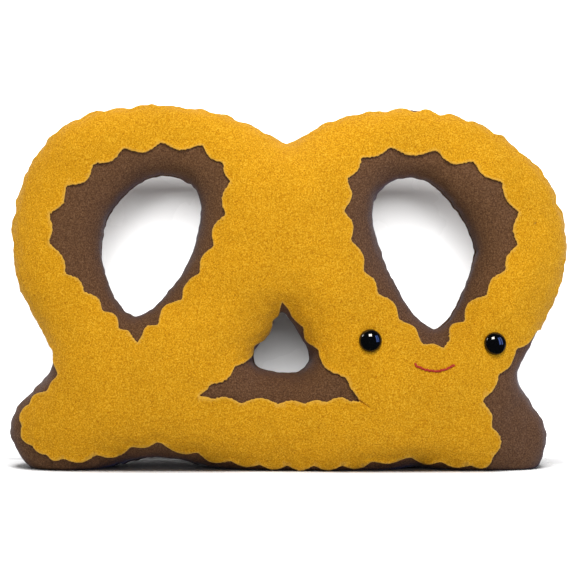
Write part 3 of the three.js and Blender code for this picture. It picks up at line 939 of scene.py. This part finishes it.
def strand(path, up, radius, turns, phase, reach):
    """A tube round one strand of a twisted thread: its centre circles the thread's middle line at
    the given reach, and its section is a ring of ten points.
    """
    along = unit(np.gradient(path, axis=0))
    side = unit(np.cross(along, up))
    top = np.cross(side, along)
    run = np.linspace(0, 1, len(path))
    twist = 2 * np.pi * (turns * run + phase)
    centre = path + reach * (np.cos(twist)[:, None] * side + np.sin(twist)[:, None] * top)
    angle = np.arange(10) / 10 * 2 * np.pi
    slim = radius * np.sqrt((1 - (2 * run - 1) ** 12).clip(0.02, 1))
    ring = np.cos(angle)[None, :, None] * side[:, None] + np.sin(angle)[None, :, None] * top[:, None]
    points = centre[:, None] + slim[:, None, None] * ring
    caps = [np.arange(10)[::-1], (len(path) - 1) * 10 + np.arange(10)]
    return points.reshape(-1, 3), ring_quads(len(path), 10), caps


def make_smile(settings):
    """Four backstitches of twisted red floss. Each rises out of the felt, lies on it and sinks
    back in where the next begins.
    """
    line = evenly(smooth_line(SMILE, False), STITCH_STEP)
    parts = np.array_split(np.arange(len(line)), 4)
    points, quads, caps, total = [], [], [], 0
    for part in parts:
        chosen = line[max(part[0] - 1, 0) : part[-1] + 2]
        at, normal = on_yellow(chosen)
        run = np.linspace(-1, 1, len(at))
        height = 0.5 - 1.5 * np.abs(run) ** 8
        path = at + normal * height[:, None]
        for number in range(3):
            p, q, ends = strand(path, normal, 0.42, len(at) * STITCH_STEP / 3.2, number / 3, 0.36)
            points.append(p)
            quads.append(q + total)
            caps += [end + total for end in ends]
            total += len(p)
    mesh = mesh_from("smile_thread", np.vstack(points), [np.vstack(quads), np.vstack(caps)])
    smile = object_from("smile_thread", mesh, cotton_floss(settings))
    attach(smile, "root")
    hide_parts("smile_stitch")


# ---------------------------------------------------------------------------- materials


def linear(hex_colour):
    """An sRGB hex colour as linear red, green, blue and alpha."""
    value = np.array([int(hex_colour[i : i + 2], 16) for i in (1, 3, 5)]) / 255
    return (*np.where(value <= 0.04045, value / 12.92, ((value + 0.055) / 1.055) ** 2.4).tolist(), 1.0)


def node(material, kind, settings=None, **links):
    """Adds a shader node. Each setting sets the node's attribute of that name, or else its input.
    Stops are pairs of position and colour on a ramp. Each link joins another node's output to
    the input that it names, or to the input whose number follows "in".
    """
    made = material.node_tree.nodes.new(kind)
    for name, value in (settings or {}).items():
        if name == "stops":
            elements = made.color_ramp.elements
            while len(elements) < len(value):
                elements.new(0.5)
            for element, (position, colour) in zip(elements, value):
                element.position = position
                element.color = colour
        elif hasattr(made, name):
            setattr(made, name, value)
        else:
            made.inputs[name].default_value = value
    for name, source in links.items():
        target = made.inputs[int(name[2:])] if name.startswith("in") else made.inputs[name.replace("_", " ")]
        material.node_tree.links.new(source, target)
    return made


def new_material(name):
    """A material and its main shader, or a finished material of that name and nothing."""
    found = bpy.data.materials.get(name)
    if found:
        return found, None
    material = bpy.data.materials.new(name)
    material.use_nodes = True
    return material, material.node_tree.nodes["Principled BSDF"]


def felt(name, colours, sheen, sheen_tint, edge=None, seam=False):
    """Pressed wool-blend craft felt. Its short fibres lie in every direction, which gives a matt,
    mottled face with a soft bright rim where it turns away, and darker and lighter flecks of
    fibre. Cut edges show paler fibre ends, partly a painted highlight where their fuzz catches
    the light. Where the felt turns into the seam, a painted shade darkens it. The colours are
    those of the darker flecks, the felt and the lighter flecks.
    """
    material, shader = new_material(name)
    if shader is None:
        return material
    link = material.node_tree.links.new
    dark, base, light = ((*colour, 1.0) for colour in colours)
    place = node(material, "ShaderNodeTexCoord").outputs["Object"]
    mm = node(material, "ShaderNodeMapping", {"Scale": (1000, 1000, 1000)}, Vector=place).outputs["Vector"]
    # Broad patches of 38 mm, flecks of about 1 mm and tufts of 5.5 mm. Real fibres are 0.02 mm
    # thick, so the flecks are drawn coarser than the fibres to show.
    broad, mottle, tufts = (
        node(
            material, "ShaderNodeTexNoise", {"Scale": scale, "Detail": detail, "Roughness": rough}, Vector=mm
        ).outputs["Fac"]
        for scale, detail, rough in ((1 / 38, 2.0, 0.5), (1 / 0.95, 3.0, 0.7), (1 / 5.5, 2.0, 0.55))
    )
    # Bundles of fibre in three directions, each about 0.6 mm wide and 4.5 mm long.
    bundles = []
    for angle in ((0.3, 0.2, 0.4), (1.2, 0.9, 1.5), (0.6, 2.2, 2.6)):
        along = {"Rotation": angle, "Scale": (1.6, 0.22, 1.6)}
        turned = node(material, "ShaderNodeMapping", along, Vector=mm).outputs["Vector"]
        bundle = {"Scale": 1.0, "Detail": 2.0, "Roughness": 0.6}
        bundles.append(node(material, "ShaderNodeTexNoise", bundle, Vector=turned).outputs["Fac"])
    larger = {"operation": "MAXIMUM"}
    pair = node(material, "ShaderNodeMath", larger, in0=bundles[0], in1=bundles[1]).outputs[0]
    fibre = node(material, "ShaderNodeMath", larger, in0=pair, in1=bundles[2]).outputs[0]

    shades = [(0.32, dark), (0.50, base), (0.70, light)]
    result = node(material, "ShaderNodeValToRGB", {"stops": shades}, Fac=mottle).outputs["Color"]
    layers = []
    fibre_levels = ((0.50, 0.84), (0.66, 1.0), (0.80, 1.14))
    for source, levels in ((fibre, fibre_levels), (broad, ((0.3, 0.94), (0.7, 1.05)))):
        greys = [(position, (level, level, level, 1)) for position, level in levels]
        layers.append(node(material, "ShaderNodeValToRGB", {"stops": greys}, Fac=source).outputs["Color"])
    # Painted shade: towards the seam the brown felt's colour is darkened, to 0.35 of itself at the seam,
    # standing in for the shade in the seam's groove.
    if seam:
        depth = node(material, "ShaderNodeAttribute", {"attribute_name": "seam_depth"}).outputs["Fac"]
        shade = {"From Max": 2.6, "To Min": 0.35}
        layers.append(node(material, "ShaderNodeMapRange", shade, Value=depth).outputs[0])
    for layer in layers:
        result = node(material, "ShaderNodeMix", MULTIPLIED, in6=result, in7=layer).outputs[2]
    # Paler fibre ends along the cut edges: partly their own colour, partly a painted highlight where the fuzz
    # catches the light.
    if edge is not None:
        along = node(material, "ShaderNodeAttribute", {"attribute_name": "cut_edge"}).outputs["Fac"]
        fibre_ends_and_highlight = node(material, "ShaderNodeMath", {"operation": "MULTIPLY"}, in0=along, in1=fibre).outputs[0]
        cut = node(material, "ShaderNodeMix", {"data_type": "RGBA"}, in0=fibre_ends_and_highlight, in6=result)
        cut.inputs[7].default_value = (*edge, 1.0)
        result = cut.outputs[2]
    link(result, shader.inputs["Base Color"])
    shader.inputs["Roughness"].default_value = 0.93
    shader.inputs["Specular IOR Level"].default_value = 0.12
    shader.inputs["Sheen Weight"].default_value = sheen
    shader.inputs["Sheen Roughness"].default_value = 0.4
    shader.inputs["Sheen Tint"].default_value = linear(sheen_tint)
    soft = node(material, "ShaderNodeBump", {"Strength": 0.42, "Distance": 0.00035}, Height=tufts).outputs[0]
    fine = node(material, "ShaderNodeBump", {"Strength": 0.6, "Distance": 0.0003}, Height=mottle, Normal=soft)
    hair_bump = {"Strength": 0.5, "Distance": 0.0002}
    hair = node(material, "ShaderNodeBump", hair_bump, Height=fibre, Normal=fine.outputs[0])
    link(hair.outputs[0], shader.inputs["Normal"])
    return material


def brown_felt(settings):
    """Brown craft felt, with a cool bloom of loose fibres at grazing angles."""
    colours = settings.brown_dark_flecks, settings.brown, settings.brown_light_flecks
    # seam=True paints a shade on the felt towards the seam.
    return felt("brown craft felt", colours, 0.42, "#93a0b8", seam=True)


def yellow_felt(settings):
    """Mustard craft felt, whose cut edges show paler fibre ends, partly a painted highlight."""
    colours = settings.yellow_dark_flecks, settings.yellow, settings.yellow_light_flecks
    return felt("mustard craft felt", colours, 0.26, "#f0dcb4", edge=settings.yellow_edge)


def polyester_fibrefill():
    """Polyester fibrefill: white crimped fibres in soft tufts of about 10 mm, that scatter light
    inside.
    """
    material, shader = new_material("polyester fibrefill")
    if shader is None:
        return material
    place = node(material, "ShaderNodeTexCoord").outputs["Object"]
    tuft = node(material, "ShaderNodeTexNoise", {"Scale": 110, "Detail": 4.0}, Vector=place).outputs["Fac"]
    shades = {"stops": [(0.3, linear("#dcd9d0")), (0.7, linear("#f6f4ee"))]}
    colour = node(material, "ShaderNodeValToRGB", shades, Fac=tuft).outputs["Color"]
    material.node_tree.links.new(colour, shader.inputs["Base Color"])
    shader.inputs["Roughness"].default_value = 0.9
    shader.inputs["Sheen Weight"].default_value = 0.3
    bump = node(material, "ShaderNodeBump", {"Strength": 0.6, "Distance": 0.001}, Height=tuft).outputs[0]
    material.node_tree.links.new(bump, shader.inputs["Normal"])
    return material


def black_abs(settings):
    """Black ABS, moulded and polished: a mirror-like gloss over a colour with almost no light in
    it, with faint handling haze.
    """
    material, shader = new_material("polished black ABS")
    if shader is None:
        return material
    place = node(material, "ShaderNodeTexCoord").outputs["Object"]
    haze = node(material, "ShaderNodeTexNoise", {"Scale": 420, "Detail": 3.0}, Vector=place).outputs["Fac"]
    rough = node(material, "ShaderNodeMapRange", {"To Min": 0.035, "To Max": 0.10}, Value=haze).outputs[0]
    material.node_tree.links.new(rough, shader.inputs["Roughness"])
    shader.inputs["Base Color"].default_value = (*settings.eye, 1)
    shader.inputs["IOR"].default_value = 1.54
    shader.inputs["Coat Weight"].default_value = 0.15
    shader.inputs["Coat Roughness"].default_value = 0.03
    return material


def white_polypropylene():
    """White polypropylene, injection moulded: slightly waxy and satin."""
    material, shader = new_material("moulded white polypropylene")
    if shader is None:
        return material
    place = node(material, "ShaderNodeTexCoord").outputs["Object"]
    grain = node(material, "ShaderNodeTexNoise", {"Scale": 900, "Detail": 2.0}, Vector=place).outputs["Fac"]
    shades = {"stops": [(0.3, linear("#deded8")), (0.7, linear("#ebebe6"))]}
    colour = node(material, "ShaderNodeValToRGB", shades, Fac=grain).outputs["Color"]
    material.node_tree.links.new(colour, shader.inputs["Base Color"])
    shader.inputs["Roughness"].default_value = 0.42
    shader.inputs["IOR"].default_value = 1.49
    bump = node(material, "ShaderNodeBump", {"Strength": 0.2, "Distance": 0.0001}, Height=grain).outputs[0]
    material.node_tree.links.new(bump, shader.inputs["Normal"])
    return material


def cotton_floss(settings):
    """Mercerised cotton embroidery floss: a deep red with a soft lustre along the twist."""
    material, shader = new_material("red cotton floss")
    if shader is None:
        return material
    place = node(material, "ShaderNodeTexCoord").outputs["Object"]
    mm = node(material, "ShaderNodeMapping", {"Scale": (1000, 1000, 1000)}, Vector=place).outputs["Vector"]
    lint = node(material, "ShaderNodeTexNoise", {"Scale": 3.0, "Detail": 2.0}, Vector=mm).outputs["Fac"]
    shades = {"stops": [(0.3, (*settings.thread_shade, 1)), (0.7, (*settings.thread, 1))]}
    colour = node(material, "ShaderNodeValToRGB", shades, Fac=lint).outputs["Color"]
    material.node_tree.links.new(colour, shader.inputs["Base Color"])
    shader.inputs["Roughness"].default_value = 0.55
    shader.inputs["Sheen Weight"].default_value = 0.15
    shader.inputs["Sheen Tint"].default_value = linear("#ff9a88")
    bump = node(material, "ShaderNodeBump", {"Strength": 0.5, "Distance": 0.0001}, Height=lint).outputs[0]
    material.node_tree.links.new(bump, shader.inputs["Normal"])
    return material


def white_board(name, smooth, worn):
    """White-painted board: bright, with a faint mirror image, and roughness between smooth and
    worn. It throws only a part of its light back on the toy, as a board does that ends close to
    the picture. It is clear from behind, so that the toy can be looked at through it.
    """
    material, shader = new_material(name)
    if shader is None:
        return material
    place = node(material, "ShaderNodeTexCoord").outputs["Object"]
    wear = node(material, "ShaderNodeTexNoise", {"Scale": 14, "Detail": 4.0}, Vector=place).outputs["Fac"]
    rough = node(material, "ShaderNodeMapRange", {"To Min": smooth, "To Max": worn}, Value=wear).outputs[0]
    link = material.node_tree.links.new
    link(rough, shader.inputs["Roughness"])
    shades = {"stops": [(0.3, linear("#f7f7f7")), (0.7, linear("#f9f9f9"))]}
    colour = node(material, "ShaderNodeValToRGB", shades, Fac=wear).outputs["Color"]
    seen = node(material, "ShaderNodeLightPath").outputs["Is Camera Ray"]
    returned = {"data_type": "RGBA", "A": linear("#b2b2b2")}
    bounce = node(material, "ShaderNodeMix", returned, in0=seen, in7=colour)
    link(bounce.outputs[2], shader.inputs["Base Color"])
    behind = node(material, "ShaderNodeNewGeometry").outputs["Backfacing"]
    clear = node(material, "ShaderNodeBsdfTransparent").outputs[0]
    either = node(material, "ShaderNodeMixShader", in0=behind, in1=shader.outputs[0], in2=clear).outputs[0]
    link(either, material.node_tree.nodes["Material Output"].inputs["Surface"])
    return material


# ---------------------------------------------------------------------------- the stage


def area_light(name, place, size, watts, colour, receivers, tall=None):
    """A softbox that faces the middle of the toy, lights only the receivers and is not seen
    itself. It is square, unless its height is given.
    """
    data = bpy.data.lights.new(name, "AREA")
    data.energy = watts
    data.color = linear(colour)[:3]
    data.shape = "RECTANGLE"
    data.size, data.size_y = size, tall or size
    light = bpy.data.objects.new(name, data)
    light.location = place
    light.rotation_mode = "QUATERNION"
    light.rotation_quaternion = (Vector((0, 0, 0.12)) - Vector(place)).to_track_quat("-Z", "Y")
    light.visible_camera = False
    light.light_linking.receiver_collection = receivers
    bpy.context.scene.collection.objects.link(light)


def sweep_mesh(width, front, back, radius, height):
    """The backdrop's foot and face: a short level line, a quarter circle and an upright, carried
    across the width.
    """
    angle = np.linspace(0, np.pi / 2, 17)
    y = np.concatenate([[front], back - radius + radius * np.sin(angle), [back]])
    z = np.concatenate([[0], radius - radius * np.cos(angle), [height]])
    line = np.column_stack([np.zeros(len(y)), y, z])
    points = np.vstack([line - (width / 2, 0, 0), line + (width / 2, 0, 0)])
    i = np.arange(len(line) - 1)
    quads = np.column_stack([i, i + len(line), i + len(line) + 1, i + 1])
    return points, quads


def flat_floor(width, front, back, height):
    """A rectangle of floor, as points and one face."""
    corners = [(-width / 2, front), (width / 2, front), (width / 2, back), (-width / 2, back)]
    return np.array([(x, y, height) for x, y in corners]) - SHIFT, np.array([[0, 1, 2, 3]])


def make_stage():
    """Camera, floor and lights."""
    data = bpy.data.cameras.new("camera")
    camera = bpy.data.objects.new("camera", data)
    bpy.context.scene.collection.objects.link(camera)
    data.sensor_width = 36
    data.lens = 84.6
    data.clip_start, data.clip_end = 0.01, 20
    seam = float(SHIFT[1]) * MM
    camera.location = (-0.0014, seam - 0.900, 0.122)
    camera.rotation_euler = (np.pi / 2, 0, 0)
    bpy.context.scene.camera = camera

    white = white_board("gloss white board", 0.22, 0.34)
    points, quads = sweep_mesh(4000, 40, 62, 20, 2200)
    board = object_from("backdrop", mesh_from("backdrop", points - SHIFT, quads), white)
    floor = object_from("floor", mesh_from("floor", *flat_floor(4000, -2500, 40, 0)), white)
    for piece in (board, floor):
        piece.visible_glossy = False
    rear_mesh = mesh_from("rear_floor", *flat_floor(4000, 48, 2500, -0.6))
    rear = object_from("rear_floor", rear_mesh, white_board("matt white board", 0.85, 0.95))
    board_only = bpy.data.collections.new("backdrop only")
    board_only.objects.link(board)
    floor_only = bpy.data.collections.new("floor only")
    floor_only.objects.link(floor)
    but_board = bpy.data.collections.new("all but floor and backdrop")
    for piece in (board, floor):
        but_board.objects.link(piece)
    for linked in but_board.collection_objects:
        linked.light_linking.link_state = "EXCLUDE"

    scene = bpy.context.scene
    scene.view_settings.view_transform = "Standard"
    scene.view_settings.look = "None"
    world = bpy.data.worlds.new("studio")
    scene.world = world
    world.use_nodes = True
    background = world.node_tree.nodes["Background"]
    background.inputs["Color"].default_value = linear("#f6f8ff")
    seen = node(world, "ShaderNodeLightPath").outputs["Is Camera Ray"]
    mirrored = node(world, "ShaderNodeLightPath").outputs["Is Glossy Ray"]
    room = node(world, "ShaderNodeMapRange", {"To Min": 0.16, "To Max": 0.03}, Value=mirrored).outputs[0]
    strength = node(world, "ShaderNodeMath", {"operation": "MAXIMUM"}, in0=seen, in1=room).outputs[0]
    world.node_tree.links.new(strength, background.inputs["Strength"])

    area_light("backdrop wash", (0.0, -1.60, 0.93), 2.3, 122, "#ffffff", board_only, 1.3)
    area_light("floor softbox", (0.0, -0.45, 2.40), 1.2, 140, "#ffffff", floor_only)
    area_light("key", (0.10, -0.64, 0.77), 0.31, 7.5, "#fff8ec", but_board)
    area_light("left softbox", (-0.75, -0.10, 0.74), 0.26, 1.9, "#ffffff", but_board)
    area_light("window, near pane", (0.78, -0.60, 0.42), 0.19, 2.2, "#7fa0ff", but_board, 0.75)
    area_light("window, far pane", (0.92, -0.36, 0.42), 0.19, 1.8, "#7fa0ff", but_board, 0.75)
    area_light("back fill", (-0.40, 1.20, 0.95), 0.6, 13, "#ffffff", but_board)


# ------------------------------------------------------------------------- add-on parts


def colour_setting(name, description, hex_colour):
    """A colour that the user can change, with its default as sRGB hex."""
    return FloatVectorProperty(
        name=name, description=description, default=linear(hex_colour)[:3], min=0, max=1, subtype="COLOR"
    )


class FeltPretzelSettings(bpy.types.PropertyGroup):
    """Sizes and colours of the toy."""

    fullness: FloatProperty(
        name="Fullness", description="How hard the toy is stuffed", default=1.58, min=0.8, max=2.2,
        subtype="FACTOR",
    )
    felt_thickness: FloatProperty(
        name="Felt thickness", description="Thickness of each layer of felt", default=0.0012,
        min=0.0005, max=0.003, unit="LENGTH",
    )
    scallop_pitch: FloatProperty(
        name="Scallop length", description="Length of one scallop along the yellow edge", default=0.0180,
        min=0.008, max=0.04, unit="LENGTH",
    )
    scallop_height: FloatProperty(
        name="Scallop height", description="How far a scallop stands out from its valleys", default=0.0042,
        min=0, max=0.008, unit="LENGTH",
    )
    pucker_depth: FloatProperty(
        name="Pucker depth", description="Depth of the puckers beside the seam", default=0.00028,
        min=0, max=0.001, unit="LENGTH",
    )
    brown: colour_setting("Brown felt", "Colour of the brown felt", "#62442b")
    brown_dark_flecks: colour_setting("Brown, dark flecks", "Darkest fibres of the brown felt", "#462e1d")
    brown_light_flecks: colour_setting("Brown, light flecks", "Lightest fibres of the brown felt", "#816043")
    yellow: colour_setting("Yellow felt", "Colour of the yellow felt", "#d2960c")
    yellow_dark_flecks: colour_setting("Yellow, dark flecks", "Darkest fibres of the yellow felt", "#ab6c05")
    yellow_light_flecks: colour_setting(
        "Yellow, light flecks", "Lightest fibres of the yellow felt", "#eeb831"
    )
    # Paler colour of the cut edges: fibre ends, partly a painted highlight.
    yellow_edge: colour_setting("Yellow, cut edge", "Fibre ends along the yellow felt's cut edges", "#deb04a")
    thread: colour_setting("Smile thread", "Colour of the floss", "#c4380f")
    thread_shade: colour_setting("Smile thread, shade", "Darker parts of the floss", "#9c1c06")
    eye: colour_setting("Eyes", "Colour of the eyes' plastic", "#040507")


class FELT_PRETZEL_OT_stage(bpy.types.Operator):
    """Add the camera, the pale floor and the lights"""

    bl_idname = "felt_pretzel.stage"
    bl_label = "Add stage"

    def execute(self, context):
        make_stage()
        return {"FINISHED"}


class FELT_PRETZEL_OT_body(bpy.types.Operator):
    """Add the two brown felt panels and the stuffing between them"""

    bl_idname = "felt_pretzel.body"
    bl_label = "Add brown body"

    def execute(self, context):
        make_body(context.scene.felt_pretzel)
        return {"FINISHED"}


class FELT_PRETZEL_OT_yellow(bpy.types.Operator):
    """Add the scalloped yellow felt over the front panel"""

    bl_idname = "felt_pretzel.yellow"
    bl_label = "Add yellow felt"

    def execute(self, context):
        make_overlay(context.scene.felt_pretzel)
        return {"FINISHED"}


class FELT_PRETZEL_OT_eyes(bpy.types.Operator):
    """Add the two safety eyes and their washers"""

    bl_idname = "felt_pretzel.eyes"
    bl_label = "Add eyes"

    def execute(self, context):
        make_eyes(context.scene.felt_pretzel)
        return {"FINISHED"}


class FELT_PRETZEL_OT_smile(bpy.types.Operator):
    """Add the stitched smile"""

    bl_idname = "felt_pretzel.smile"
    bl_label = "Add smile"

    def execute(self, context):
        make_smile(context.scene.felt_pretzel)
        return {"FINISHED"}


STEPS = (
    FELT_PRETZEL_OT_stage,
    FELT_PRETZEL_OT_body,
    FELT_PRETZEL_OT_yellow,
    FELT_PRETZEL_OT_eyes,
    FELT_PRETZEL_OT_smile,
)


class FELT_PRETZEL_PT_sidebar(bpy.types.Panel):
    """Settings and steps of the felt pretzel"""

    bl_idname = "FELT_PRETZEL_PT_sidebar"
    bl_label = "Felt Pretzel"
    bl_space_type = "VIEW_3D"
    bl_region_type = "UI"
    bl_category = "Felt Pretzel"

    def draw(self, context):
        settings = context.scene.felt_pretzel
        for name in FeltPretzelSettings.__annotations__:
            self.layout.prop(settings, name)
        for step in STEPS:
            self.layout.operator(step.bl_idname)


CLASSES = (FeltPretzelSettings, *STEPS, FELT_PRETZEL_PT_sidebar)


def register():
    for cls in CLASSES:
        bpy.utils.register_class(cls)
    bpy.types.Scene.felt_pretzel = PointerProperty(type=FeltPretzelSettings)


def unregister():
    del bpy.types.Scene.felt_pretzel
    for cls in reversed(CLASSES):
        bpy.utils.unregister_class(cls)


def main():
    register()
    bpy.ops.felt_pretzel.stage()
    bpy.ops.felt_pretzel.body()
    bpy.ops.felt_pretzel.yellow()
    bpy.ops.felt_pretzel.eyes()
    bpy.ops.felt_pretzel.smile()
    bpy.context.view_layer.update()


if __name__ == "__main__":
    main()
